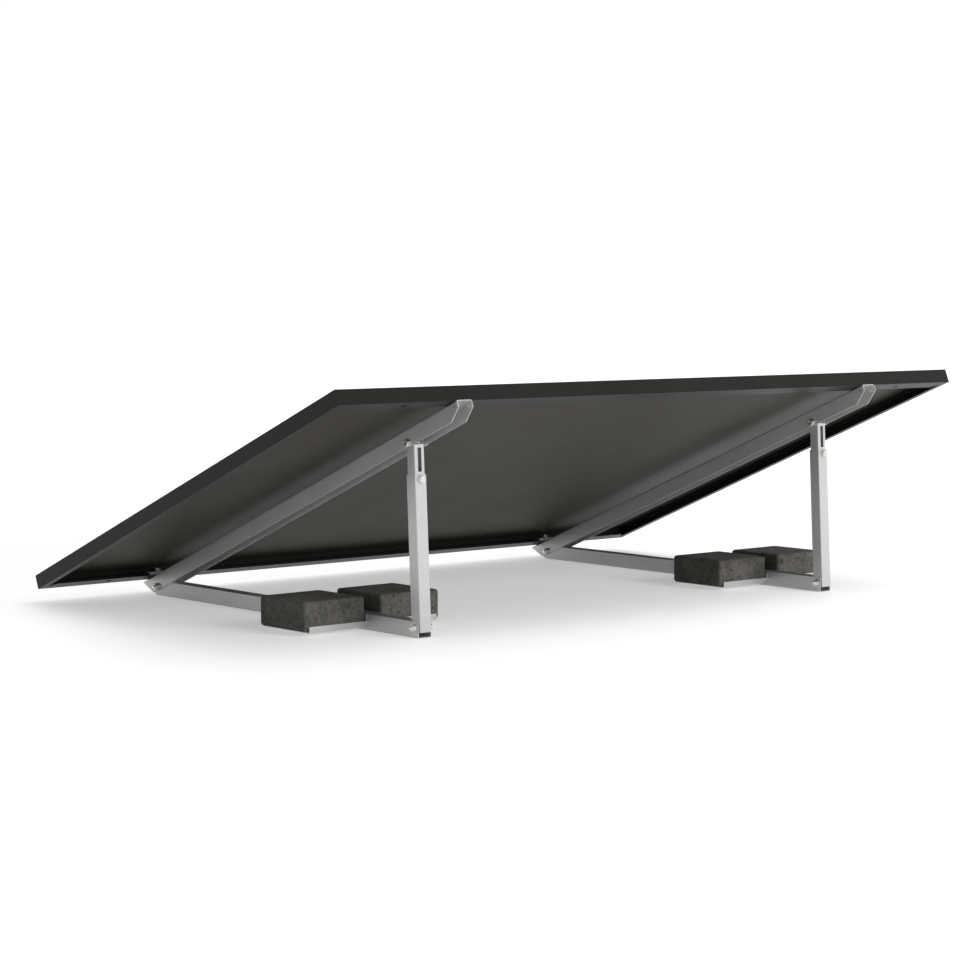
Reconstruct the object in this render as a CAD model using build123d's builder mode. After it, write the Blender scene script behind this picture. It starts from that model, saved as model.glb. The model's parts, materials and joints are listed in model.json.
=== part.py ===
"""Two tilted ballast frames that carry one framed solar module.

Each frame is a triangle of bent sheet steel: a base channel on the ground, a
tilt rail above it and a telescopic leg between their rear ends.  Folded trays
riveted to the base channels hold concrete blocks as ballast.  The module lies
across both tilt rails and is clamped to them at its low and high edges.

+X runs along the module's long side, +Y from its low edge to its high edge
and +Z is up.  The origin is the centre of the ground footprint's box.
"""

from build123d import *

import os
from math import cos, radians, sin

# ---- the triangle -----------------------------------------------------------
tilt = 22.13  # degrees between the base channels and the module
pivot_height = 19.5  # front and rear pivots above the ground
pivot_drop = 26.3  # front and top pivots below the rail's upper face
front_pivot_inset = 49.5  # front pivot from the rail's front end
pivot_span = 886.5  # front pivot to rear pivot, along the ground
top_pivot_reach = 937.5  # front pivot to top pivot, along the rail
frame_pitch = 1140.0  # between the two frames, centre to centre
frame_offset = -7.0  # the frames sit this far off the module's middle

# ---- bent sheet -------------------------------------------------------------
sheet = 1.5
bend_radius = 2.0  # inside radius of every fold
rail_width = 37.0
rail_depth = 34.0
rail_length = 1154.0
rail_nose_lip = 2.4  # upright part of the rail's front end
rail_nose_cut = 30.0  # length taken off the lower corner at the front
rail_tail_lip = 14.0  # upright part of the rail's rear end
rail_tail_cut = 30.0  # length taken off the lower corner at the rear
fold_clearance = 0.8  # between the rail's walls and the base's walls
base_depth = 32.0
base_nose = 15.0  # base channel ahead of the front pivot
base_tail = 10.0  # base channel behind the rear pivot
base_nose_cut = 8.0  # chamfer on the base's lower front corner

# ---- telescopic leg ---------------------------------------------------------
leg_wall = 1.5
leg_side_clearance = 0.9  # between the outer leg and the base's walls
leg_slide_clearance = 0.3  # between the two tubes of the leg
leg_corner_radius = 2.0
leg_foot = 9.0  # outer leg below the rear pivot
outer_leg_length = 302.0  # outer leg above its foot end
inner_leg_overlap = 170.0  # inner leg hidden in the outer leg
inner_leg_crown = 9.0  # inner leg above the top pivot
slot_wall_drop = 2.5  # the slotted wall stops this far below the top pivot
slot_length = 46.0
slot_width = 9.0
slot_web = 7.0  # metal left between two slots
slot_count = 4
slot_top_gap = 9.0  # first slot below the top pivot
lock_bolt_drop = 9.0  # lock bolt below the outer leg's upper end
lock_thread_overrun = 1.5

# ---- solar module -----------------------------------------------------------
module_length = 1708.0
module_width = 1134.0
module_overhang = 16.0  # rail ahead of the module's low edge
frame_height = 30.0
frame_wall = 1.5
long_lip = 32.0
short_lip = 15.0
lip_thickness = 1.6
cap_width = 8.0
chamber_width = 9.5
chamber_height = 10.0
glass_thickness = 3.2
cell_thickness = 0.3
backsheet_thickness = 0.5
bedding_gap = 0.5  # sealant space above the glass
glass_edge_gap = 0.5
cell_columns = 18
cell_rows = 6
cell_length = 182.0
cell_width = 91.0
cell_gap = 1.5
cell_middle_gap = 12.0
key_arm = 40.0
key_clearance = 0.1
mounting_slot_length = 14.0
mounting_slot_width = 7.0
mounting_slot_inset = 19.0
mounting_slot_pitch = 1382.0

# ---- clamps -----------------------------------------------------------------
clamp_length = 60.0
clamp_width = 24.0
clamp_height = 8.0
clamp_sheet = 2.0
clamp_inset = 20.0  # clamp bolt from the module's edge
clamp_thread_overrun = 2.0

# ---- ballast ----------------------------------------------------------------
block_side = 148.0
block_height = 60.0
block_arris = 3.0  # bevel round every edge of a block
block_rear_gap = 149.0  # rear pivot to the blocks' rear faces
tray_height = 6.0  # underside of the tray floor above the ground
tray_lip = 12.5
tray_clearance = 1.0  # between a block and the tray's lips
tray_short_fall = 10.0  # block beyond the tray's open end
tray_flange = 22.0
block_side_gap = 3.5  # between a block and the base channel's wall

# ---- fasteners --------------------------------------------------------------
bolt_diameter = 8.0
hole_clearance = 0.25  # on the radius, in folded sheet and washers
eye_clearance = 0.5  # on the radius, in the inner leg's upper eye
hex_width = 13.0
head_height = 5.3
nut_height = 6.5
washer_radius = 8.0
washer_thickness = 1.6
thread_overrun = 4.0
thread_clearance = 0.1
small_round_sides = 12  # flats that stand for a round on the small hardware
spacer_radius = 6.5
rivet_radius = 2.4
rivet_head_radius = 3.6
rivet_head_height = 1.2
rivet_pitch = 100.0
rivet_drop = 7.0  # below the tray flange's upper edge
stud_radius = 3.2
stud_height = 2.5
stud_inset = 11.0  # from the rail's rear end
stud_drop = 9.5  # below the rail's upper face

# ---- worked out from the values above ---------------------------------------
run, rise = cos(radians(tilt)), sin(radians(tilt))
bolt_radius = bolt_diameter / 2
hole_radius = bolt_radius + hole_clearance
rail_inner = rail_width - 2 * sheet
base_width = rail_inner - 2 * fold_clearance
base_inner = base_width - 2 * sheet
outer_leg_width = base_inner - 2 * leg_side_clearance
inner_leg_width = outer_leg_width - 2 * leg_wall - 2 * leg_slide_clearance
low_edge = module_overhang - front_pivot_inset
high_edge = low_edge + module_width
rail_front = -front_pivot_inset
rail_rear = rail_front + rail_length
back_face = pivot_drop
frame_top = back_face + frame_height


def across(along, normal):
    """Ground distance from the front pivot of a point given in the rail's own directions."""
    return along * run - normal * rise


# The footprint runs from the lowest-lying of the front corners to the rearmost corner.
front_reach = min(across(rail_front, back_face), across(low_edge, frame_top))
rear_reach = max(
    across(rail_rear, back_face - rail_tail_lip), pivot_span + base_tail, across(high_edge, back_face)
)
pivot_y = -(front_reach + rear_reach) / 2
rear_pivot_y = pivot_y + pivot_span
frame_places = {
    "left": frame_offset - frame_pitch / 2,
    "right": frame_offset + frame_pitch / 2,
}

slope = Vector(0, run, rise)
normal = Vector(0, -rise, run)
front_pivot = Vector(0, pivot_y, pivot_height)
rear_pivot = Vector(0, rear_pivot_y, pivot_height)
top_pivot = front_pivot + slope * top_pivot_reach
leg_direction = (top_pivot - rear_pivot).normalized()
leg_rearward = leg_direction.cross(Vector(1, 0, 0))
leg_length = (top_pivot - rear_pivot).length
outer_leg_top = outer_leg_length - leg_foot
lock_place = outer_leg_top - lock_bolt_drop
slot_step = slot_length + slot_web
first_slot_middle = leg_length - slot_top_gap - slot_length / 2

laminate = backsheet_thickness + cell_thickness + glass_thickness
shelf_height = frame_height - frame_wall - bedding_gap - laminate
chamber_floor = shelf_height - chamber_height
module_middle = low_edge + module_width / 2
glass_length = module_length - 2 * (frame_wall + glass_edge_gap)
glass_width = module_width - 2 * (frame_wall + glass_edge_gap)
clamp_alongs = {"low": low_edge + clamp_inset, "high": high_edge - clamp_inset}

block_rear_y = rear_pivot_y - block_rear_gap
block_middle_y = block_rear_y - block_side / 2
tray_depth = block_side + 2 * tray_clearance + 2 * sheet
tray_length = block_side_gap + block_side - tray_short_fall
tray_floor = tray_height + sheet
tray_places = {
    f"{frame}_{side}_tray": (x + sign * base_width / 2, sign)
    for frame, x in frame_places.items()
    for side, sign in (("left", -1), ("right", 1))
}

os.makedirs("parts", exist_ok=True)


def save(piece, name):
    """Label one finished piece and write its STEP file."""
    piece.part.label = name
    export_step(piece.part, f"parts/{name}.step")


# ---- planes that the pieces are drawn on ------------------------------------
def slope_plane(x=0, along=0, height=0):
    """Parallel to the rails' upper faces: local X along +X, local Y up the slope."""
    origin = front_pivot + slope * along + normal * height + Vector(x, 0, 0)
    return Plane(origin=origin, x_dir=(1, 0, 0), z_dir=normal)


def rail_side(x):
    """Along a rail's side: local X up the slope, local Y along the module's normal."""
    return Plane(origin=front_pivot + Vector(x, 0, 0), x_dir=slope, z_dir=(1, 0, 0))


def base_side(x):
    """Along a base channel's side: local X to the rear from the front pivot, local Y up."""
    return Plane(origin=(x, pivot_y, 0), x_dir=(0, 1, 0), z_dir=(1, 0, 0))


def leg_side(x):
    """Along a leg's side: local X up the leg from the rear pivot."""
    return Plane(origin=rear_pivot + Vector(x, 0, 0), x_dir=leg_direction, z_dir=(1, 0, 0))


def leg_section(x, along):
    """Across a leg, looking up it."""
    origin = rear_pivot + leg_direction * along + Vector(x, 0, 0)
    return Plane(origin=origin, x_dir=(1, 0, 0), z_dir=leg_direction)


def leg_rear_face(x, outward):
    """Along a leg's rear face: local X up the leg from the rear pivot, local Z to the rear."""
    origin = rear_pivot + leg_rearward * outward + Vector(x, 0, 0)
    return Plane(origin=origin, x_dir=leg_direction, z_dir=leg_rearward)


def cross_plane(point, x, direction=1):
    """Square to +X through a pivot, facing +X or, with direction -1, the other way."""
    return Plane(origin=(x, point.Y, point.Z), x_dir=(0, 1, 0), z_dir=(direction, 0, 0))


# ---- profiles and fasteners that repeat -------------------------------------
def channel_section(plane, width, depth, thickness=sheet, bend=bend_radius):
    """A folded U section, its web on the plane's X axis and its walls towards +Y."""
    with BuildSketch(plane) as section:
        Rectangle(width, depth, align=(Align.CENTER, Align.MIN))
        fillet(section.vertices().group_by(Axis.Y)[0], bend + thickness)
        with Locations((0, thickness)):
            Rectangle(width - 2 * thickness, depth, align=(Align.CENTER, Align.MIN), mode=Mode.SUBTRACT)
        fillet(section.vertices().filter_by_position(Axis.Y, thickness, thickness), bend)
    return section.sketch


def tube_section(plane, width, wall, corner):
    """A square tube's section with rounded corners."""
    with BuildSketch(plane) as section:
        RectangleRounded(width, width, corner)
        Rectangle(width - 2 * wall, width - 2 * wall, mode=Mode.SUBTRACT)
    return section.sketch


def ring(plane, outer, inner=0):
    """Small hardware's ring, or disc, as a many-sided figure inside the true round."""
    with BuildSketch(plane) as section:
        RegularPolygon(outer, small_round_sides)
        if inner:
            RegularPolygon(inner, small_round_sides, major_radius=False, mode=Mode.SUBTRACT)
    return section.sketch


def hexagon(plane, bore=0):
    """The outline of a bolt head or a nut, with the nut's bore."""
    with BuildSketch(plane) as section:
        RegularPolygon(hex_width / 2, 6, major_radius=False)
        if bore:
            RegularPolygon(bore, small_round_sides, major_radius=False, mode=Mode.SUBTRACT)
    return section.sketch


def add_bolt(plane, length):
    """A hex bolt: the plane lies under its head and faces along its shank."""
    extrude(ring(plane, bolt_radius), amount=length)
    extrude(hexagon(plane), amount=-head_height)


def add_nut(plane):
    """A hex nut standing on the plane."""
    extrude(hexagon(plane, bolt_radius + thread_clearance), amount=nut_height)


def add_washer(plane):
    """A plain washer lying on the plane."""
    extrude(ring(plane, washer_radius, hole_radius), amount=washer_thickness)


# ---- solar module: four frame members, mitred at the corners ----------------

def member_plane(name):
    """The section plane at a member's start: local X into the module, local Y up its edge."""
    inward = {
        "frame_low": slope,
        "frame_high": slope * -1,
        "frame_left": Vector(1, 0, 0),
        "frame_right": Vector(-1, 0, 0),
    }[name]
    corner_x = module_length / 2 if name in ("frame_high", "frame_right") else -module_length / 2
    corner_along = high_edge if name in ("frame_high", "frame_left") else low_edge
    origin = front_pivot + slope * corner_along + normal * back_face + Vector(corner_x, 0, 0)
    return Plane(origin=origin, x_dir=inward, z_dir=inward.cross(normal))


for name, length, lip in (
    ("frame_low", module_length, long_lip),
    ("frame_high", module_length, long_lip),
    ("frame_left", module_width, short_lip),
    ("frame_right", module_width, short_lip),
):
    section_plane = member_plane(name)
    with BuildPart() as member:
        with BuildSketch(section_plane):
            with BuildLine():
                Polyline(
                    (0, 0),
                    (lip, 0),
                    (lip, lip_thickness),
                    (frame_wall, lip_thickness),
                    (frame_wall, chamber_floor),
                    (chamber_width, chamber_floor),
                    (chamber_width, shelf_height),
                    (frame_wall, shelf_height),
                    (frame_wall, frame_height - frame_wall),
                    (cap_width, frame_height - frame_wall),
                    (cap_width, frame_height),
                    (0, frame_height),
                    close=True,
                )
            make_face()
            with Locations((frame_wall, chamber_floor + frame_wall)):
                Rectangle(
                    chamber_width - 2 * frame_wall,
                    chamber_height - 2 * frame_wall,
                    align=(Align.MIN, Align.MIN),
                    mode=Mode.SUBTRACT,
                )
        extrude(amount=length)
        mitre_plane = Plane(
            origin=section_plane.origin, x_dir=section_plane.z_dir, z_dir=section_plane.y_dir
        )
        with BuildSketch(mitre_plane):
            with BuildLine():
                Polyline((0, 0), (length, 0), (length - lip, lip), (lip, lip), close=True)
            make_face()
        extrude(amount=frame_height, mode=Mode.INTERSECT)
        if lip == long_lip:
            along = clamp_alongs["low" if name == "frame_low" else "high"]
            with BuildSketch(slope_plane(along=along, height=back_face)):
                with Locations(*[(x, 0) for x in frame_places.values()]):
                    Circle(hole_radius)
            extrude(amount=lip_thickness, mode=Mode.SUBTRACT)
            inset = mounting_slot_inset if name == "frame_low" else module_width - mounting_slot_inset
            with BuildSketch(slope_plane(along=low_edge + inset, height=back_face)):
                with GridLocations(mounting_slot_pitch, 0, 2, 1):
                    SlotOverall(mounting_slot_length, mounting_slot_width)
            extrude(amount=lip_thickness, mode=Mode.SUBTRACT)
    save(member, name)

# Corner keys pressed into the hollow chambers hold the four members together.
with BuildPart() as corner_keys:
    with BuildSketch(
        slope_plane(along=module_middle, height=back_face + chamber_floor + frame_wall + key_clearance)
    ):
        corner_x = module_length / 2 - frame_wall - key_clearance
        corner_y = module_width / 2 - frame_wall - key_clearance
        key_width = chamber_width - 2 * frame_wall - 2 * key_clearance
        with BuildLine():
            Polyline(
                (corner_x, corner_y),
                (corner_x - key_arm, corner_y),
                (corner_x - key_arm, corner_y - key_width),
                (corner_x - key_width, corner_y - key_width),
                (corner_x - key_width, corner_y - key_arm),
                (corner_x, corner_y - key_arm),
                close=True,
            )
        make_face()
        mirror(about=Plane.YZ)
        mirror(about=Plane.XZ)
    extrude(amount=chamber_height - 2 * frame_wall - 2 * key_clearance)
save(corner_keys, "frame_corner_keys")

# The laminate lies on the frame's shelf: backing sheet, cells, then glass.
with BuildPart() as backsheet:
    with BuildSketch(slope_plane(along=module_middle, height=back_face + shelf_height)):
        Rectangle(glass_length, glass_width)
    extrude(amount=backsheet_thickness)
save(backsheet, "module_backsheet")

with BuildPart() as cells:
    with BuildSketch(
        slope_plane(along=module_middle, height=back_face + shelf_height + backsheet_thickness)
    ):
        half_columns = cell_columns // 2
        half_length = half_columns * cell_width + (half_columns - 1) * cell_gap
        half_offset = (half_length + cell_middle_gap) / 2
        with Locations((-half_offset, 0), (half_offset, 0)):
            with GridLocations(cell_width + cell_gap, cell_length + cell_gap, half_columns, cell_rows):
                Rectangle(cell_width, cell_length)
    extrude(amount=cell_thickness)
save(cells, "solar_cells")

with BuildPart() as glass:
    with BuildSketch(
        slope_plane(
            along=module_middle,
            height=back_face + shelf_height + backsheet_thickness + cell_thickness,
        )
    ):
        Rectangle(glass_length, glass_width)
    extrude(amount=glass_thickness)
save(glass, "front_glass")

# ---- clamps: a pressed bar on each lip, bolted through the rail -------------
for edge, along in clamp_alongs.items():
    with BuildPart() as clamps:
        for x in frame_places.values():
            start = front_pivot + slope * along + normal * (back_face + lip_thickness + clamp_height)
            section_plane = Plane(
                origin=start + Vector(x + clamp_length / 2, 0, 0), x_dir=slope, z_dir=(-1, 0, 0)
            )
            bar = channel_section(section_plane, clamp_width, clamp_height, clamp_sheet, clamp_sheet / 2)
            extrude(bar, amount=clamp_length)
            top_plane = slope_plane(x, along, back_face + lip_thickness)
            extrude(ring(top_plane, hole_radius), amount=clamp_height, mode=Mode.SUBTRACT)
    save(clamps, f"{edge}_clamp_bars")

clamp_top = back_face + lip_thickness + clamp_height
clamp_points = [(x, along) for x in frame_places.values() for along in clamp_alongs.values()]
clamp_grip = sheet + lip_thickness + clamp_height + washer_thickness + nut_height

with BuildPart() as clamp_bolts:
    for x, along in clamp_points:
        add_bolt(slope_plane(x, along, back_face - sheet), clamp_grip + clamp_thread_overrun)
save(clamp_bolts, "clamp_bolts")

with BuildPart() as clamp_washers:
    for x, along in clamp_points:
        add_washer(slope_plane(x, along, clamp_top))
save(clamp_washers, "clamp_washers")

with BuildPart() as clamp_nuts:
    for x, along in clamp_points:
        add_nut(slope_plane(x, along, clamp_top + washer_thickness))
save(clamp_nuts, "clamp_nuts")

# ---- tilt rails: inverted U, cut back at both ends --------------------------
stud_along = rail_rear - stud_inset
stud_height_line = back_face - stud_drop

for side, x in frame_places.items():
    with BuildPart() as rail:
        rail_start = front_pivot + slope * rail_front + normal * back_face + Vector(x, 0, 0)
        section_plane = Plane(origin=rail_start, x_dir=(1, 0, 0), z_dir=slope)
        extrude(channel_section(section_plane, rail_width, rail_depth), amount=rail_length)
        with BuildSketch(rail_side(x)):
            with BuildLine():
                Polyline(
                    (rail_front, back_face),
                    (rail_front, back_face - rail_nose_lip),
                    (rail_front + rail_nose_cut, back_face - rail_depth),
                    (rail_rear - rail_tail_cut, back_face - rail_depth),
                    (rail_rear, back_face - rail_tail_lip),
                    (rail_rear, back_face),
                    close=True,
                )
            make_face()
        extrude(amount=rail_width / 2, both=True, mode=Mode.INTERSECT)
        with BuildSketch(rail_side(x)):
            with Locations((0, 0), (top_pivot_reach, 0)):
                Circle(hole_radius)
            with Locations((stud_along, stud_height_line)):
                RegularPolygon(rivet_radius, small_round_sides)
        extrude(amount=rail_width / 2, both=True, mode=Mode.SUBTRACT)
        with BuildSketch(slope_plane(x, 0, back_face)):
            with Locations(*[(0, along) for along in clamp_alongs.values()]):
                Circle(hole_radius)
        extrude(amount=-sheet, mode=Mode.SUBTRACT)
    save(rail, f"{side}_tilt_rail")

with BuildPart() as studs:
    for x in frame_places.values():
        for direction in (-1, 1):
            side = rail_side(x + direction * rail_width / 2)
            place = side.origin + slope * stud_along + normal * stud_height_line
            shank_plane = Plane(origin=place, x_dir=side.x_dir, z_dir=side.z_dir * -direction)
            extrude(ring(shank_plane, rivet_radius), amount=sheet)
            extrude(ring(shank_plane.offset(sheet), stud_radius), amount=stud_height)
save(studs, "rail_end_studs")

# ---- base channels: U folded upwards, lying on the ground -------------------
base_front = -base_nose
base_rear = pivot_span + base_tail
rivet_height = tray_height + tray_flange - rivet_drop

for side, x in frame_places.items():
    with BuildPart() as base:
        section_plane = Plane(origin=(x, pivot_y + base_rear, 0), x_dir=(1, 0, 0), z_dir=(0, -1, 0))
        extrude(channel_section(section_plane, base_width, base_depth), amount=base_rear - base_front)
        with BuildSketch(base_side(x)):
            with BuildLine():
                Polyline(
                    (base_front, base_nose_cut),
                    (base_front + base_nose_cut, 0),
                    (base_rear, 0),
                    (base_rear, base_depth),
                    (base_front, base_depth),
                    close=True,
                )
            make_face()
        extrude(amount=base_width / 2, both=True, mode=Mode.INTERSECT)
        with BuildSketch(base_side(x)):
            with Locations((0, pivot_height), (pivot_span, pivot_height)):
                Circle(hole_radius)
            with Locations((block_middle_y - pivot_y, rivet_height)):
                with GridLocations(rivet_pitch, 0, 2, 1):
                    RegularPolygon(rivet_radius, small_round_sides)
        extrude(amount=base_width / 2, both=True, mode=Mode.SUBTRACT)
    save(base, f"{side}_base_channel")

# ---- ballast trays: folded pans riveted to both walls of each base ----------
for name, (wall_x, sign) in tray_places.items():
    with BuildPart() as tray:
        section_plane = Plane(
            origin=(wall_x, block_middle_y, tray_height), x_dir=(0, 1, 0), z_dir=(1, 0, 0)
        )
        extrude(channel_section(section_plane, tray_depth, tray_lip), amount=sign * tray_length)
        flange_plane = Plane(
            origin=(wall_x, block_middle_y, tray_height), x_dir=(0, 1, 0), z_dir=(1, 0, 0)
        )
        with BuildSketch(flange_plane) as flange:
            Rectangle(tray_depth - 2 * (bend_radius + sheet), tray_flange, align=(Align.CENTER, Align.MIN))
            with Locations((0, rivet_height - tray_height)):
                with GridLocations(rivet_pitch, 0, 2, 1):
                    RegularPolygon(rivet_radius, small_round_sides, mode=Mode.SUBTRACT)
        extrude(flange.sketch, amount=sign * sheet)
    save(tray, name)

with BuildPart() as rivets:
    for wall_x, sign in tray_places.values():
        for y in (block_middle_y - rivet_pitch / 2, block_middle_y + rivet_pitch / 2):
            head_plane = Plane(
                origin=(wall_x + sign * sheet, y, rivet_height), x_dir=(0, 1, 0), z_dir=(1, 0, 0)
            )
            extrude(ring(head_plane, rivet_head_radius), amount=sign * rivet_head_height)
            extrude(ring(head_plane, rivet_radius), amount=-sign * 2 * sheet)
            tail_plane = head_plane.offset(-sign * 2 * sheet)
            extrude(ring(tail_plane, stud_radius), amount=-sign * rivet_head_height)
save(rivets, "tray_rivets")

# ---- ballast blocks: square concrete pavers with bevelled edges --------------
for name, (wall_x, sign) in tray_places.items():
    with BuildPart() as block:
        block_x = wall_x + sign * (block_side_gap + block_side / 2)
        with BuildSketch(Plane(origin=(block_x, block_middle_y, tray_floor))):
            Rectangle(block_side, block_side)
        extrude(amount=block_height)
        chamfer(block.edges(), block_arris)
    save(block, name.replace("tray", "ballast_block"))

# ---- telescopic legs --------------------------------------------------------
for side, x in frame_places.items():
    with BuildPart() as outer_leg:
        outline = tube_section(leg_section(x, -leg_foot), outer_leg_width, leg_wall, leg_corner_radius)
        extrude(outline, amount=outer_leg_length)
        with BuildSketch(leg_side(x)):
            Circle(hole_radius)
        extrude(amount=outer_leg_width / 2, both=True, mode=Mode.SUBTRACT)
        with BuildSketch(leg_rear_face(x, 0)):
            with Locations((lock_place, 0)):
                Circle(hole_radius)
        extrude(amount=outer_leg_width / 2, mode=Mode.SUBTRACT)
    save(outer_leg, f"{side}_outer_leg")

    with BuildPart() as inner_leg:
        foot = outer_leg_top - inner_leg_overlap
        outline = tube_section(leg_section(x, foot), inner_leg_width, leg_wall, leg_corner_radius)
        extrude(outline, amount=leg_length + inner_leg_crown - foot)
        with BuildSketch(leg_side(x)):
            with Locations((leg_length, 0)):
                Circle(bolt_radius + eye_clearance)
        extrude(amount=inner_leg_width / 2, both=True, mode=Mode.SUBTRACT)
        with BuildSketch(leg_rear_face(x, inner_leg_width / 2)):
            for place in range(slot_count):
                with Locations((first_slot_middle - place * slot_step, 0)):
                    Rectangle(slot_length, slot_width)
            with Locations((leg_length - slot_wall_drop, 0)):
                Rectangle(
                    inner_leg_crown + slot_wall_drop,
                    inner_leg_width,
                    align=(Align.MIN, Align.CENTER),
                )
        extrude(amount=-leg_corner_radius, mode=Mode.SUBTRACT)
    save(inner_leg, f"{side}_inner_leg")

    lock_seat = outer_leg_width / 2
    lock_nut_seat = inner_leg_width / 2 - leg_wall - leg_slide_clearance
    with BuildPart() as lock_washer:
        seat = leg_rear_face(x, lock_seat)
        add_washer(Plane(origin=seat.origin + leg_direction * lock_place, x_dir=seat.x_dir, z_dir=seat.z_dir))
    save(lock_washer, f"{side}_lock_washer")

    with BuildPart() as lock_bolt:
        seat = leg_rear_face(x, lock_seat + washer_thickness)
        origin = seat.origin + leg_direction * lock_place
        head_plane = Plane(origin=origin, x_dir=seat.x_dir, z_dir=seat.z_dir * -1)
        reach = lock_seat + washer_thickness - lock_nut_seat + nut_height + lock_thread_overrun
        add_bolt(head_plane, reach)
    save(lock_bolt, f"{side}_lock_bolt")

    with BuildPart() as lock_nut:
        seat = leg_rear_face(x, lock_nut_seat)
        origin = seat.origin + leg_direction * lock_place
        add_nut(Plane(origin=origin, x_dir=seat.x_dir, z_dir=seat.z_dir * -1))
    save(lock_nut, f"{side}_lock_nut")

# ---- pivot bolts: head, washers and nut outside the two walls they cross ----
pivots = {
    "front": (front_pivot, rail_width, 1),
    "rear": (rear_pivot, base_width, 1),
    "top": (top_pivot, rail_width, -1),
}

for name, (point, width, direction) in pivots.items():
    head_seat = -direction * (width / 2 + washer_thickness)
    with BuildPart() as bolts:
        for x in frame_places.values():
            length = width + 2 * washer_thickness + nut_height + thread_overrun
            add_bolt(cross_plane(point, x + head_seat, direction), length)
    save(bolts, f"{name}_pivot_bolts")

    with BuildPart() as washers:
        for x in frame_places.values():
            add_washer(cross_plane(point, x + width / 2, 1))
            add_washer(cross_plane(point, x - width / 2, -1))
    save(washers, f"{name}_pivot_washers")

    with BuildPart() as nuts:
        for x in frame_places.values():
            add_nut(cross_plane(point, x - head_seat, direction))
    save(nuts, f"{name}_pivot_nuts")

# Sleeves on the top bolts keep each inner leg in the middle of its rail.
with BuildPart() as spacers:
    for x in frame_places.values():
        for direction in (-1, 1):
            spacer_plane = cross_plane(top_pivot, x + direction * rail_inner / 2, -direction)
            spacer_length = (rail_inner - inner_leg_width) / 2 - leg_slide_clearance
            extrude(ring(spacer_plane, spacer_radius, hole_radius), amount=spacer_length)
save(spacers, "top_pivot_spacers")
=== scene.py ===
import json
import math

import bmesh
import bpy
import numpy as np
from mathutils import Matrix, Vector, noise


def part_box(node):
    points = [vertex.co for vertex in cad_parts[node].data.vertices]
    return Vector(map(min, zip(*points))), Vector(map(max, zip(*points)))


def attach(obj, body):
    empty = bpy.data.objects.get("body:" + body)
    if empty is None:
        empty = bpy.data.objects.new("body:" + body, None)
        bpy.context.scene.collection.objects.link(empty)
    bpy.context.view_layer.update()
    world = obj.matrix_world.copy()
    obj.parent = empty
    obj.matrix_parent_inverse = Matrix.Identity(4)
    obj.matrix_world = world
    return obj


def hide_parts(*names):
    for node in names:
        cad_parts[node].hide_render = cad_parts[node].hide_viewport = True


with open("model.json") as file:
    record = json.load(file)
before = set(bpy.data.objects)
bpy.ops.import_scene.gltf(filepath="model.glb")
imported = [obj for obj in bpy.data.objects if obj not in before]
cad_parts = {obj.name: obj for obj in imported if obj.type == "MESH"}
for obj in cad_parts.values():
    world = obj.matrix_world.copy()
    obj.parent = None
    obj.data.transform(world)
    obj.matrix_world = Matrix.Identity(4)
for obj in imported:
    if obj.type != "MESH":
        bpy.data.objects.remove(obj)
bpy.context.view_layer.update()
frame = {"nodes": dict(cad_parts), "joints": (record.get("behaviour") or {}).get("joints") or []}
MM = 0.001

# ---- Viewpoint ---------------------------------------------------------------
# Low behind the high edge and off to one side, as if kneeling a few metres away,
# so that the backing sheet, both frames and the ballast are all in view.
EYE = Vector((3.5901, 4.1207, 0.6687))
HEADING = math.radians(40.51)
DIP = math.radians(4.37)
SENSOR_WIDTH = 36.0
FOCAL_LENGTH = 94.54

sight = Vector((-math.sin(HEADING) * math.cos(DIP), -math.cos(HEADING) * math.cos(DIP), -math.sin(DIP)))
camera = bpy.data.objects.new("viewpoint", bpy.data.cameras.new("viewpoint"))
camera.data.sensor_width = SENSOR_WIDTH
camera.data.lens = FOCAL_LENGTH
camera.data.clip_start = 0.1
camera.data.clip_end = 60.0
camera.location = EYE
camera.rotation_euler = sight.to_track_quat("-Z", "Y").to_euler()
bpy.context.collection.objects.link(camera)
bpy.context.scene.camera = camera
bpy.context.scene.view_settings.view_transform = "Standard"


# ---- White surround ----------------------------------------------------------
# An even white surround.  It is plain white where it is seen or mirrored, and
# dimmer as a light, so that faces turned to it keep their own tone.
class Reading:
    """One output of a node.  Sums on readings add the nodes that work them out."""

    def __init__(self, wiring, socket):
        self.wiring = wiring
        self.socket = socket

    def maths(self, operation, *values):
        return self.wiring.node("ShaderNodeMath", {"operation": operation}, dict(enumerate(values)))

    def __add__(self, other):
        return self.maths("ADD", self, other)

    def __radd__(self, other):
        return self.maths("ADD", other, self)

    def __sub__(self, other):
        return self.maths("SUBTRACT", self, other)

    def __rsub__(self, other):
        return self.maths("SUBTRACT", other, self)

    def __mul__(self, other):
        return self.maths("MULTIPLY", self, other)

    def __rmul__(self, other):
        return self.maths("MULTIPLY", other, self)

    def __mod__(self, size):
        return self.maths("MODULO", self, size)

    def __abs__(self):
        return self.maths("ABSOLUTE", self)

    def between(self, low, high):
        """0 at low, 1 at high, and a straight ramp between them."""
        return self.wiring.node(
            "ShaderNodeMapRange", {"clamp": True}, {"Value": self, "From Min": low, "From Max": high}
        )


class Wiring:
    """The nodes of one tree."""

    def __init__(self, tree):
        self.tree = tree

    def node(self, kind, settings, sockets, output=0):
        """Add one node: its settings first, then the values or readings of its sockets."""
        made = self.tree.nodes.new(kind)
        for setting, value in settings.items():
            setattr(made, setting, value)
        for socket, value in sockets.items():
            if isinstance(value, Reading):
                self.tree.links.new(value.socket, made.inputs[socket])
            else:
                made.inputs[socket].default_value = value
        return Reading(self, made.outputs[output])

    def seen_or_mirrored(self):
        """1 for what the eye sees, straight or in a gloss, and 0 for light on the object."""
        seen = self.node("ShaderNodeLightPath", {}, {}, "Is Camera Ray")
        mirrored = self.node("ShaderNodeLightPath", {}, {}, "Is Glossy Ray")
        return seen.maths("MAXIMUM", seen, mirrored)


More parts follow.
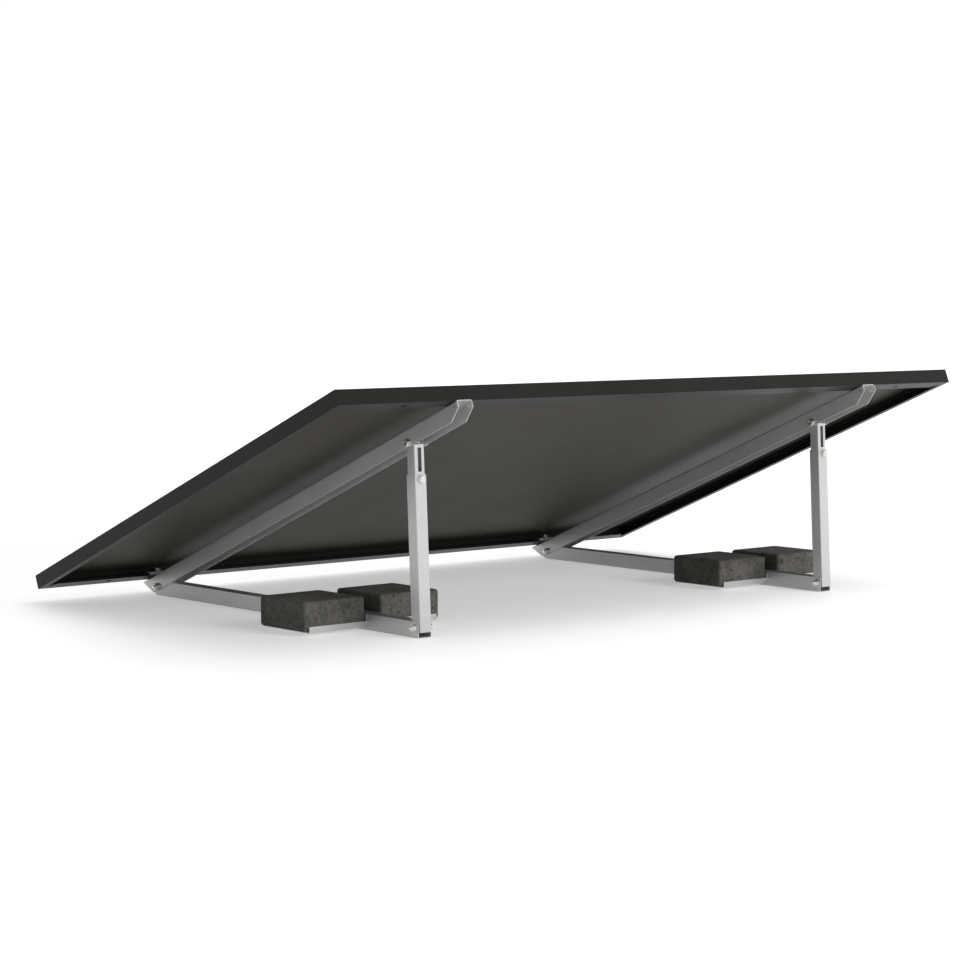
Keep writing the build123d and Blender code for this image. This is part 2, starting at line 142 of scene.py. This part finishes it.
SURROUND_LIGHT = 0.32

surround = bpy.data.worlds.new("white surround")
surround.use_nodes = True
bpy.context.scene.world = surround
surround_light = surround.node_tree.nodes["Background"]
surround_light.inputs["Color"].default_value = (1.0, 1.0, 1.0, 1.0)
strength = Wiring(surround.node_tree).seen_or_mirrored() * (1.0 - SURROUND_LIGHT) + SURROUND_LIGHT
surround.node_tree.links.new(strength.socket, surround_light.inputs["Strength"])


# ---- Floor -------------------------------------------------------------------
# A wide matt white floor.  It glows a little to the eye, more with distance, so
# that it meets the surround without a horizon and still keeps the shadow.
class Finish(Wiring):
    """A material with one main shader, and the nodes that vary it over a surface."""

    def __init__(self, name, **fixed):
        self.material = bpy.data.materials.new(name)
        self.material.use_nodes = True
        super().__init__(self.material.node_tree)
        self.shader = self.tree.nodes["Principled BSDF"]
        for socket, value in fixed.items():
            self.shader.inputs[self.socket_name(socket)].default_value = value

    @staticmethod
    def socket_name(word):
        return word.replace("_", " ").title().replace("Ior", "IOR")

    def drive(self, **readings):
        """Link readings to the shader's own sockets."""
        for socket, reading in readings.items():
            self.tree.links.new(reading.socket, self.shader.inputs[self.socket_name(socket)])

    def place(self):
        """The point on the piece, in metres, in the object's own frame."""
        return self.node("ShaderNodeTexCoord", {}, {}, "Object")

    def tint(self, amount, low, high):
        """A colour that goes from low to high as the amount goes from 0 to 1."""
        colours = [(*end, 1.0) if isinstance(end, tuple) else end for end in (low, high)]
        sockets = {0: amount, 6: colours[0], 7: colours[1]}
        return self.node("ShaderNodeMix", {"data_type": "RGBA"}, sockets, 2)


FLOOR_REACH = 30.0
GLOW_NEAR = 0.38
GLOW_GAIN = 0.4
GLOW_RISE = (1.6, 5.0)

floor = bpy.data.objects.new("floor", bpy.data.meshes.new("floor"))
floor_corners = [(x * FLOOR_REACH, y * FLOOR_REACH, 0.0) for x, y in ((-1, -1), (1, -1), (1, 1), (-1, 1))]
floor.data.from_pydata(floor_corners, [], [(0, 1, 2, 3)])
bpy.context.collection.objects.link(floor)
matt_white = Finish("white floor", base_color=(0.86, 0.86, 0.87, 1.0), roughness=0.6, emission_strength=1.0)
out_from = matt_white.node("ShaderNodeVectorMath", {"operation": "LENGTH"}, {0: matt_white.place()}, "Value")
glow = matt_white.seen_or_mirrored() * (GLOW_NEAR + out_from.between(*GLOW_RISE) * GLOW_GAIN)
matt_white.drive(emission_color=matt_white.tint(glow, (0.0, 0.0, 0.0), (1.0, 1.0, 1.0)))
floor.data.materials.append(matt_white.material)

# ---- Lamps -------------------------------------------------------------------
# Two large soft lamps, one low behind the high edge and one overhead.  They are
# left out of the gloss, so that bare metal mirrors only the white surround.
MIDDLE = Vector((0.0, 0.1, 0.2))

for name, spot, width, power in (
    ("rear lamp", Vector((-1.2, 6.0, 1.9)), 3.5, 260.0),
    ("top lamp", Vector((-1.6, 1.6, 6.0)), 4.5, 150.0),
):
    lamp = bpy.data.objects.new(name, bpy.data.lights.new(name, "AREA"))
    lamp.data.size = width
    lamp.data.energy = power
    lamp.location = spot
    lamp.rotation_euler = (MIDDLE - spot).to_track_quat("-Z", "Y").to_euler()
    lamp.visible_glossy = False
    bpy.context.collection.objects.link(lamp)


# ---- Folded steel sheet ------------------------------------------------------
# Rails, base channels, trays, clamp bars and both tubes of each leg are cut and
# folded from zinc-coated sheet, 1.5 mm thick: a satin grey with faint spangle,
# fine rolling lines along the length and a few handling scuffs.
def grain(finish, scale, detail, at=None, roughness=0.55):
    """Smooth random variation from 0 to 1, with so many bumps to the metre."""
    sockets = {"Vector": at or finish.place(), "Scale": scale, "Detail": detail, "Roughness": roughness}
    return finish.node("ShaderNodeTexNoise", {}, sockets)


def drawn_out(finish, bump_sizes, turn):
    """Grain that runs one way: the size of one bump on each axis, turned about X."""
    sockets = {"Vector": finish.place(), "Rotation": (turn, 0.0, 0.0), "Scale": bump_sizes}
    return grain(finish, 1.0, 2.0, finish.node("ShaderNodeMapping", {"vector_type": "TEXTURE"}, sockets))


def relief(finish, height, depth):
    """Relief of that depth in metres, from a height between 0 and 1."""
    finish.drive(normal=finish.node("ShaderNodeBump", {}, {"Height": height, "Distance": depth}))


def dress(node_names, finish):
    """Give these nodes of the frame one finish."""
    for node_name in node_names:
        mesh = frame["nodes"][node_name].data
        mesh.materials.clear()
        mesh.materials.append(finish.material)


TILT = math.radians(22.13)
ROLL_FINE = 1.2 * MM
ROLL_LONG = 200.0 * MM


def sheet_steel(name, bump_sizes, turn):
    steel = Finish(name, metallic=0.55)
    clouds = grain(steel, 9.0, 3.0)
    spangle = steel.node(
        "ShaderNodeTexVoronoi", {"feature": "F1"}, {"Vector": steel.place(), "Scale": 210.0}, "Color"
    )
    flake = steel.node("ShaderNodeSeparateColor", {}, {"Color": spangle})
    rolling = drawn_out(steel, bump_sizes, turn)
    scuff = grain(steel, 55.0, 6.0, roughness=0.75).between(0.64, 0.8)
    tone = (clouds * 0.5 + flake * 0.14 + rolling * 0.36).between(0.15, 0.85)
    steel.drive(
        base_color=steel.tint(tone, (0.53, 0.53, 0.532), (0.63, 0.63, 0.632)),
        roughness=0.36 + flake * 0.04 + clouds * 0.06 + scuff * 0.1,
    )
    relief(steel, rolling * 0.6 + scuff * 0.4, 0.03 * MM)
    return steel


for name, endings, bump_sizes, turn in (
    ("rail sheet", ("tilt_rail", "clamp_bars"), (ROLL_FINE, ROLL_LONG, ROLL_FINE), TILT),
    ("base sheet", ("base_channel", "tray"), (ROLL_FINE, ROLL_LONG, ROLL_FINE), 0.0),
    ("leg tube", ("_leg",), (ROLL_FINE, ROLL_FINE, ROLL_LONG), 0.0),
):
    dress([node for node in frame["nodes"] if node.endswith(endings)], sheet_steel(name, bump_sizes, turn))


# ---- Module frame ------------------------------------------------------------
# Four extruded aluminium members, mitred at the corners and black anodised to a
# satin finish, with fine die lines along each.
DIE_FINE = 1.4 * MM
DIE_LONG = 250.0 * MM


def black_anodised(name, bump_sizes):
    black = Finish(name, specular_ior_level=0.1)
    clouds = grain(black, 9.0, 3.0)
    die_lines = drawn_out(black, bump_sizes, TILT)
    black.drive(
        base_color=black.tint(clouds * 0.5 + die_lines * 0.5, (0.009, 0.009, 0.008), (0.019, 0.019, 0.017)),
        roughness=0.26 + die_lines * 0.10 + clouds * 0.06,
    )
    relief(black, die_lines, 0.02 * MM)
    return black


dress(["frame_low", "frame_high"], black_anodised("black long sides", (DIE_LONG, DIE_FINE, DIE_FINE)))
dress(["frame_left", "frame_right"], black_anodised("black short sides", (DIE_FINE, DIE_LONG, DIE_FINE)))

# ---- Corner keys -------------------------------------------------------------
# Bare cast aluminium angles, pressed into the hollow walls of the frame's members
# to hold its mitres shut.
bare_cast = Finish("bare aluminium", base_color=(0.6, 0.6, 0.6, 1.0), metallic=1.0)
bare_cast.drive(roughness=0.42 + grain(bare_cast, 240.0, 3.0) * 0.2)
dress(["frame_corner_keys"], bare_cast)

# ---- Backing sheet -----------------------------------------------------------
# A dark brown-grey polymer film on the laminate's underside: smooth, faintly
# mottled, with the slight waviness that lamination leaves behind the cells.
film = Finish("backing sheet", specular_ior_level=0.22)
waves = grain(film, 7.0, 2.0)
mottle = grain(film, 420.0, 3.0)
film.drive(
    base_color=film.tint(waves * 0.7 + mottle * 0.3, (0.029, 0.027, 0.021), (0.043, 0.040, 0.032)),
    roughness=0.40 + waves * 0.1 + mottle * 0.08,
)
relief(film, waves * 0.9 + mottle * 0.1, 0.3 * MM)
dress(["module_backsheet"], film)

# ---- Solar cells -------------------------------------------------------------
# Half-cut black silicon cells, each crossed by ten thin tinned wires that carry
# its current to the next cell of the string.
CELL_PITCH = 183.5 * MM
CELL_GAP = 1.5 * MM
WIRE_PITCH = 18.2 * MM
WIRE_WIDTH = 0.5 * MM
UP_SLOPE = Vector((0.0, math.cos(TILT), math.sin(TILT)))

cells_low, cells_high = (Vector(corner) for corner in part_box("solar_cells"))
cells_centre = (cells_low + cells_high) / 2

silicon = Finish("black silicon")
crystal = grain(silicon, 60.0, 3.0)
up_module = silicon.node(
    "ShaderNodeVectorMath", {"operation": "DOT_PRODUCT"}, {0: silicon.place(), 1: UP_SLOPE}, "Value"
)
in_cell = (up_module - (cells_centre.dot(UP_SLOPE) - 3 * CELL_PITCH)) % CELL_PITCH
off_wire = abs((in_cell - CELL_GAP / 2) % WIRE_PITCH - WIRE_PITCH / 2)
wire = 1.0 - off_wire.between(0.4 * WIRE_WIDTH, 0.6 * WIRE_WIDTH)
wafer = silicon.tint(crystal, (0.004, 0.005, 0.010), (0.010, 0.012, 0.022))
silicon.drive(
    base_color=silicon.tint(wire, wafer, (0.42, 0.42, 0.43)),
    roughness=0.22 + crystal * 0.16,
    metallic=wire * 0.8,
)
dress(["solar_cells"], silicon)

# ---- Front glass -------------------------------------------------------------
# Tempered solar glass over the cells.  Its top is finely stippled, so that it
# never mirrors sharply.
pane = Finish("solar glass", base_color=(0.9, 0.93, 0.95, 1.0), metallic=1.0)
stipple = grain(pane, 900.0, 2.0)
pane.drive(roughness=0.08 + stipple * 0.1)
relief(pane, stipple, 0.02 * MM)
shine = pane.node("ShaderNodeFresnel", {}, {"IOR": 1.45}) * 0.6
clear = pane.node("ShaderNodeBsdfTransparent", {}, {"Color": (0.94, 0.96, 0.97, 1.0)})
gloss = Reading(pane, pane.shader.outputs[0])
seen_through = pane.node("ShaderNodeMixShader", {}, {0: shine, 1: clear, 2: gloss})
pane.tree.links.new(seen_through.socket, pane.tree.nodes["Material Output"].inputs["Surface"])
dress(["front_glass"], pane)

# ---- Ballast blocks ----------------------------------------------------------
# Dark grey cast concrete blocks with worn arrises, a lumpy sandy skin and the
# small blow holes that trapped air leaves.  Their weight alone holds the frames.
concrete = Finish("cast concrete", specular_ior_level=0.3)
sand = grain(concrete, 1400.0, 5.0, roughness=0.7)
patches = grain(concrete, 22.0, 4.0)
stain = grain(concrete, 60.0, 5.0).between(0.55, 0.72)
sway = concrete.node(
    "ShaderNodeTexNoise", {}, {"Vector": concrete.place(), "Scale": 110.0, "Detail": 3.0}, "Color"
)
bent = concrete.node(
    "ShaderNodeVectorMath",
    {"operation": "MULTIPLY_ADD"},
    {0: sway, 1: (0.016, 0.016, 0.016), 2: concrete.place()},
)


def from_pit(scale):
    """Distance from the nearest pit, in parts of the space between pits."""
    sockets = {"Vector": bent, "Scale": scale}
    return concrete.node("ShaderNodeTexVoronoi", {"feature": "F1"}, sockets, "Distance")


airy = grain(concrete, 60.0, 2.0).between(0.44, 0.50)
large_pits = (1.0 - from_pit(85.0).between(0.16, 0.24)) * airy
pits_and_pit_shade = large_pits + (1.0 - from_pit(260.0).between(0.10, 0.24)) * (1.0 - large_pits) * 0.8
lumps = grain(concrete, 240.0, 4.0, roughness=0.65)
shade = (patches * 0.3 + lumps * 0.45 + sand * 0.25).between(0.34, 0.66)
# Each pit darkens the base colour by up to 0.8: painted shade inside the blow holes. The relief below also
# sinks the pits.
concrete.drive(
    base_color=concrete.tint(
        shade * (1.0 - 0.8 * pits_and_pit_shade) - stain * 0.2, (0.036, 0.034, 0.031), (0.180, 0.174, 0.162)
    ),
    roughness=0.8 + sand * 0.18,
)
relief(concrete, sand * 0.1 + lumps * 0.3 + 0.6 - pits_and_pit_shade * 0.6, 2.6 * MM)

ARRIS_RADIUS = 7.0 * MM
FACE_STEP = 2.6 * MM
BLOW_HOLES = 90
HOLE_RADII = (1.2, 3.4)
HOLE_DEPTH = 0.55
SKIN_BACK = 0.25 * MM
SKIN_ROUGH = 0.22 * MM


def block_shell(size):
    """A box of small square faces, centred on the origin."""
    shell = bmesh.new()
    for axis in range(3):
        for way in (-1, 1):
            first, second = (axis + 1) % 3, (axis + 2) % 3
            columns = max(2, round(size[first] / FACE_STEP))
            rows = max(2, round(size[second] / FACE_STEP))
            grid = []
            for row in range(rows + 1):
                line = []
                for column in range(columns + 1):
                    spot = Vector((0, 0, 0))
                    spot[axis] = way * size[axis] / 2
                    spot[first] = (column / columns - 0.5) * size[first]
                    spot[second] = (row / rows - 0.5) * size[second]
                    line.append(shell.verts.new(spot))
                grid.append(line)
            for below, above in zip(grid, grid[1:]):
                for left in range(columns):
                    shell.faces.new((below[left], below[left + 1], above[left + 1], above[left]))
    bmesh.ops.remove_doubles(shell, verts=shell.verts, dist=0.1 * MM)
    bmesh.ops.recalc_face_normals(shell, faces=shell.faces)
    return shell


def cast_block(name, low, high, seed):
    """A block with rounded arrises, a rough skin and its own blow holes."""
    size = high - low
    centre = (low + high) / 2
    shell = block_shell(size)
    chance = np.random.default_rng(seed)
    holes = []
    for _ in range(BLOW_HOLES):
        axis, way = int(chance.integers(3)), float(chance.choice([-1.0, 1.0]))
        spot = Vector(((chance.random(3) - 0.5) * 0.94 * np.array(size)).tolist())
        spot[axis] = way * size[axis] / 2
        holes.append((spot, float(chance.uniform(*HOLE_RADII)) * MM))
    inner = Vector([extent / 2 - ARRIS_RADIUS for extent in size])
    for vert in shell.verts:
        spot = vert.co.copy()
        core = Vector([max(-inner[i], min(inner[i], spot[i])) for i in range(3)])
        out = (spot - core).normalized()
        wear = 0.6 + 0.8 * noise.noise(spot * 60.0 + Vector((seed * 7.3, 0, 0)))
        sink = SKIN_BACK + SKIN_ROUGH * noise.fractal(spot * 420.0, 1.0, 2.0, 3) * wear
        for hole, radius in holes:
            reach = (spot - hole).length / radius
            if reach < 1.0:
                sink += HOLE_DEPTH * radius * (1.0 - reach * reach)
        vert.co = centre + core + out * (ARRIS_RADIUS - max(sink, 0.0))
    mesh = bpy.data.meshes.new(name)
    shell.to_mesh(mesh)
    shell.free()
    mesh.polygons.foreach_set("use_smooth", [True] * len(mesh.polygons))
    return mesh


def settle(piece, body, slot, *nodes):
    """A finished piece rides on its body and stands for its nodes, which are hidden; the slot is not used."""
    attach(piece, body)
    if nodes:
        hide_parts(*nodes)


blocks = [node for node in frame["nodes"] if node.endswith("ballast_block")]
for seed, node in enumerate(blocks, start=3):
    low, high = (Vector(corner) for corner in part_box(node))
    block = bpy.data.objects.new(f"{node}_cast", cast_block(node, low, high, seed))
    block.data.materials.append(concrete.material)
    bpy.context.collection.objects.link(block)
    settle(block, "base", "concrete", node)

# ---- Bolts, nuts and washers -------------------------------------------------
# Bright zinc-plated M8 hardware: heads and nuts are forged hexagons whose corners
# are turned off to a cone, washers are punched rings, and threads are rolled.
zinc = Finish("bright zinc plate", metallic=1.0)
plating = grain(zinc, 300.0, 3.0)
zinc.drive(
    base_color=zinc.tint(plating, (0.62, 0.605, 0.565), (0.80, 0.785, 0.745)),
    roughness=0.18 + plating * 0.16,
)
relief(zinc, plating, 0.03 * MM)

ROUND_STEPS = 48
HEX_WIDTH = 13.0 * MM
HEAD_HEIGHT = 5.3 * MM
NUT_HEIGHT = 6.5 * MM
THREAD_RADIUS = 4.0 * MM
THREAD_PITCH = 1.25 * MM
THREAD_DEPTH = 0.55 * MM
NUT_BORE = 4.1 * MM
WASHER_RADIUS = 8.0 * MM
WASHER_BORE = 4.25 * MM
WASHER_THICKNESS = 1.6 * MM
WASHER_EASE = 0.25 * MM


def lathe(name, rings, closed=False):
    """A mesh through rings of points; closed joins the last ring to the first, as on a washer."""
    steps = len(rings[0])
    points = [point for ring in rings for point in ring]
    faces = []
    for number in range(len(rings) if closed else len(rings) - 1):
        here, there = number * steps, (number + 1) % len(rings) * steps
        for step in range(steps):
            after = (step + 1) % steps
            faces.append((here + step, here + after, there + after, there + step))
    if not closed:
        faces.append(tuple(reversed(range(steps))))
        faces.append(tuple(range(len(points) - steps, len(points))))
    mesh = bpy.data.meshes.new(name)
    mesh.from_pydata(points, [], faces)
    return mesh


def round_ring(radius, height):
    turns = [2 * math.pi * step / ROUND_STEPS for step in range(ROUND_STEPS)]
    return [(radius * math.cos(turn), radius * math.sin(turn), height) for turn in turns]


def hex_ring(height, fall):
    """A hexagon's outline, lower at the corners by the slope of the turned cone."""
    ring = []
    for step in range(ROUND_STEPS):
        turn = 2 * math.pi * step / ROUND_STEPS
        off_flat = (turn + math.pi / 6) % (math.pi / 3) - math.pi / 6
        radius = HEX_WIDTH / 2 / math.cos(off_flat)
        drop = max(0.0, radius - 0.97 * HEX_WIDTH / 2) * math.tan(math.radians(30)) * fall
        ring.append((radius * math.cos(turn), radius * math.sin(turn), height - drop))
    return ring


def rolled_thread(length):
    """A shank of crests and roots, with a chamfered end."""
    rings = []
    for turn in range(int((length - 1.0 * MM) / THREAD_PITCH)):
        rings.append(round_ring(THREAD_RADIUS - THREAD_DEPTH, turn * THREAD_PITCH))
        rings.append(round_ring(THREAD_RADIUS, (turn + 0.5) * THREAD_PITCH))
    rings.append(round_ring(THREAD_RADIUS - 0.1 * MM, length - 0.9 * MM))
    rings.append(round_ring(THREAD_RADIUS - 0.9 * MM, length))
    return lathe("rolled thread", rings)


hex_head = lathe(
    "hex head",
    [
        hex_ring(0.0, 0),
        hex_ring(HEAD_HEIGHT, 1),
        round_ring(0.47 * HEX_WIDTH, HEAD_HEIGHT),
        round_ring(0.3 * HEX_WIDTH, HEAD_HEIGHT),
        round_ring(0.26 * HEX_WIDTH, HEAD_HEIGHT - 0.3 * MM),
    ],
)
hex_nut = lathe(
    "hex nut",
    [
        hex_ring(0.0, -1),
        hex_ring(NUT_HEIGHT, 1),
        round_ring(0.46 * HEX_WIDTH, NUT_HEIGHT),
        round_ring(NUT_BORE + 0.5 * MM, NUT_HEIGHT),
        round_ring(NUT_BORE, NUT_HEIGHT - 0.6 * MM),
        round_ring(NUT_BORE, 0.0),
    ],
    closed=True,
)
plain_washer = lathe(
    "plain washer",
    [
        round_ring(WASHER_BORE, 0.0),
        round_ring(WASHER_RADIUS - WASHER_EASE, 0.0),
        round_ring(WASHER_RADIUS, WASHER_EASE),
        round_ring(WASHER_RADIUS, WASHER_THICKNESS - WASHER_EASE),
        round_ring(WASHER_RADIUS - WASHER_EASE, WASHER_THICKNESS),
        round_ring(WASHER_BORE, WASHER_THICKNESS),
    ],
    closed=True,
)


def solids_of(node):
    """The points of each separate solid in one node."""
    mesh = frame["nodes"][node].data
    points = np.empty(len(mesh.vertices) * 3)
    mesh.vertices.foreach_get("co", points)
    points = points.reshape(-1, 3)
    spots = {}
    owner = [spots.setdefault(tuple(np.round(point, 5)), len(spots)) for point in points]
    leader = list(range(len(spots)))

    def lead(one):
        while leader[one] != one:
            leader[one] = leader[leader[one]]
            one = leader[one]
        return one

    for face in mesh.polygons:
        first = lead(owner[face.vertices[0]])
        for other in face.vertices[1:]:
            leader[lead(owner[other])] = first
    groups = {}
    for number, spot in enumerate(owner):
        groups.setdefault(lead(spot), []).append(points[number])
    return [np.array(group) for group in groups.values()]


def seats(node, axis):
    """For each solid of a node: the point on its axis at its near end, and its length."""
    line = np.array(axis)
    found = []
    for points in solids_of(node):
        heights = points @ line
        flat = points - np.outer(heights, line)
        on_axis = (flat.max(axis=0) + flat.min(axis=0)) / 2
        near, far = heights.min(), heights.max()
        found.append((Vector((on_axis + near * line).tolist()), float(far - near)))
    return found


def standing_tree():
    """Stand one part on every point, turned as the point says, as real geometry."""
    tree = bpy.data.node_groups.new("stand parts", "GeometryNodeTree")
    for name, way, kind in (
        ("Geometry", "INPUT", "NodeSocketGeometry"),
        ("Part", "INPUT", "NodeSocketObject"),
        ("Material", "INPUT", "NodeSocketMaterial"),
        ("Geometry", "OUTPUT", "NodeSocketGeometry"),
    ):
        tree.interface.new_socket(name, in_out=way, socket_type=kind)
    steps = Wiring(tree)
    inlet = tree.nodes.new("NodeGroupInput")
    dots, part, material = (Reading(steps, inlet.outputs[name]) for name in ("Geometry", "Part", "Material"))
    turn = steps.node("GeometryNodeInputNamedAttribute", {"data_type": "FLOAT_VECTOR"}, {"Name": "turn"})
    turned = steps.node("FunctionNodeEulerToRotation", {}, {"Euler": turn})
    pattern = steps.node("GeometryNodeObjectInfo", {}, {"Object": part}, "Geometry")
    points = steps.node("GeometryNodeMeshToPoints", {}, {"Mesh": dots})
    stood = steps.node(
        "GeometryNodeInstanceOnPoints", {}, {"Points": points, "Instance": pattern, "Rotation": turned}
    )
    solid = steps.node("GeometryNodeRealizeInstances", {}, {"Geometry": stood})
    coated = steps.node("GeometryNodeSetMaterial", {}, {"Geometry": solid, "Material": material})
    outlet = tree.nodes.new("NodeGroupOutput")
    tree.links.new(coated.socket, outlet.inputs["Geometry"])
    return tree


stand_parts = standing_tree()


def stand_on(name, part_mesh, places, finish):
    """A plain mesh of one part standing at every place, each a point and an axis."""
    pattern = bpy.data.objects.new("pattern", part_mesh)
    dots = bpy.data.meshes.new(name)
    dots.from_pydata([tuple(point) for point, _ in places], [], [])
    turns = dots.attributes.new("turn", "FLOAT_VECTOR", "POINT")
    for number, (_, axis) in enumerate(places):
        turns.data[number].vector = Vector(axis).to_track_quat("Z", "Y").to_euler()
    piece = bpy.data.objects.new(name, dots)
    bpy.context.collection.objects.link(piece)
    bpy.context.collection.objects.link(pattern)
    modifier = piece.modifiers.new("stand", "NODES")
    modifier.node_group = stand_parts
    chosen = {"Part": pattern, "Material": finish.material}
    for item in stand_parts.interface.items_tree:
        if item.in_out == "INPUT" and item.name in chosen:
            modifier[item.identifier] = chosen[item.name]
    bpy.context.view_layer.update()
    graph = bpy.context.evaluated_depsgraph_get()
    made = bpy.data.meshes.new_from_object(piece.evaluated_get(graph))
    piece.modifiers.remove(modifier)
    piece.data = made
    bpy.data.objects.remove(pattern)
    return piece


leg_axis = Vector(next(joint["axis"] for joint in frame["joints"] if joint["name"] == "left_leg_extend"))
into_leg = leg_axis.cross(Vector((-1, 0, 0)))

for group, ending, body, axis in (
    ("front_pivot", "s", "base", Vector((1, 0, 0))),
    ("rear_pivot", "s", "base", Vector((1, 0, 0))),
    ("top_pivot", "s", "panel", Vector((-1, 0, 0))),
    ("clamp", "s", "panel", Vector((0, -math.sin(TILT), math.cos(TILT)))),
    ("left_lock", "", "left_lower_leg", into_leg),
    ("right_lock", "", "right_lower_leg", into_leg),
):
    bolt_node, nut_node, washer_node = (f"{group}_{part}{ending}" for part in ("bolt", "nut", "washer"))
    bolts = seats(bolt_node, axis)
    under_heads = [point + axis * HEAD_HEIGHT for point, _ in bolts]
    shank = rolled_thread(bolts[0][1] - HEAD_HEIGHT)
    heads = stand_on(f"{group}_hex_heads", hex_head, [(point, -axis) for point in under_heads], zinc)
    settle(heads, body, "zinc_fasteners", bolt_node)
    threads = stand_on(f"{group}_threads", shank, [(point, axis) for point in under_heads], zinc)
    settle(threads, body, "zinc_fasteners", bolt_node)
    nuts = stand_on(f"{group}_hex_nuts", hex_nut, [(point, axis) for point, _ in seats(nut_node, axis)], zinc)
    settle(nuts, body, "zinc_fasteners", nut_node)
    rings = [(point, axis) for point, _ in seats(washer_node, axis)]
    washers = stand_on(f"{group}_plain_washers", plain_washer, rings, zinc)
    settle(washers, body, "zinc_fasteners", washer_node)

# ---- Studs, rivets and spacers -----------------------------------------------
# Small plated parts: the studs inside the rails' high ends, the rivets that hold
# the trays to the base channels, and the tube spacers on the top pivots.
dress(["rail_end_studs", "tray_rivets", "top_pivot_spacers"], zinc)

# ---- String ribbons ----------------------------------------------------------
# Flat tinned copper ribbons under the glass, soldered across the ends of each
# pair of cell rows and down the middle gap, to join the strings.
RIBBON_WIDTH = 5.0 * MM
RIBBON_THICKNESS = 0.25 * MM
RIBBON_LENGTH = 350.0 * MM
RIBBON_CORNER = 0.6 * MM
RIBBON_OFF_CELLS = 4.5 * MM
CORNER_STEPS = 5


def ribbon_strip():
    """A flat strip along Z with eased corners, as rolled ribbon has."""
    outline = []
    for way_x, way_z in ((1, -1), (1, 1), (-1, 1), (-1, -1)):
        middle_x = way_x * (RIBBON_WIDTH / 2 - RIBBON_CORNER)
        middle_z = way_z * (RIBBON_LENGTH / 2 - RIBBON_CORNER)
        start = math.atan2(way_z, way_x) - math.pi / 4
        for step in range(CORNER_STEPS):
            turn = start + step * math.pi / 2 / (CORNER_STEPS - 1)
            x = middle_x + RIBBON_CORNER * math.cos(turn)
            z = middle_z + RIBBON_CORNER * math.sin(turn)
            outline.append((x, z))
    count = len(outline)
    half = RIBBON_THICKNESS / 2
    points = [(x, -half, z) for x, z in outline] + [(x, half, z) for x, z in outline]
    faces = [tuple(range(count)), tuple(reversed(range(count, 2 * count)))]
    for step in range(count):
        after = (step + 1) % count
        faces.append((step, step + count, after + count, after))
    mesh = bpy.data.meshes.new("ribbon")
    mesh.from_pydata(points, [], faces)
    shaping = bmesh.new()
    shaping.from_mesh(mesh)
    bmesh.ops.recalc_face_normals(shaping, faces=shaping.faces)
    shaping.to_mesh(mesh)
    shaping.free()
    return mesh


tin = Finish("tinned copper ribbon", metallic=1.0)
solder = grain(tin, 500.0, 3.0)
tin.drive(
    base_color=tin.tint(solder, (0.5, 0.5, 0.51), (0.64, 0.64, 0.65)),
    roughness=0.3 + solder * 0.2,
)
relief(tin, solder, 0.05 * MM)

past_cells = (cells_high.x - cells_low.x) / 2 + RIBBON_OFF_CELLS
ribbon_places = [
    (cells_centre + Vector((across, 0, 0)) + UP_SLOPE * pair * 2 * CELL_PITCH, UP_SLOPE)
    for across in (-past_cells, 0.0, past_cells)
    for pair in (-1, 0, 1)
]
ribbons = stand_on("string_ribbons", ribbon_strip(), ribbon_places, tin)
settle(ribbons, "panel", "key_aluminium")
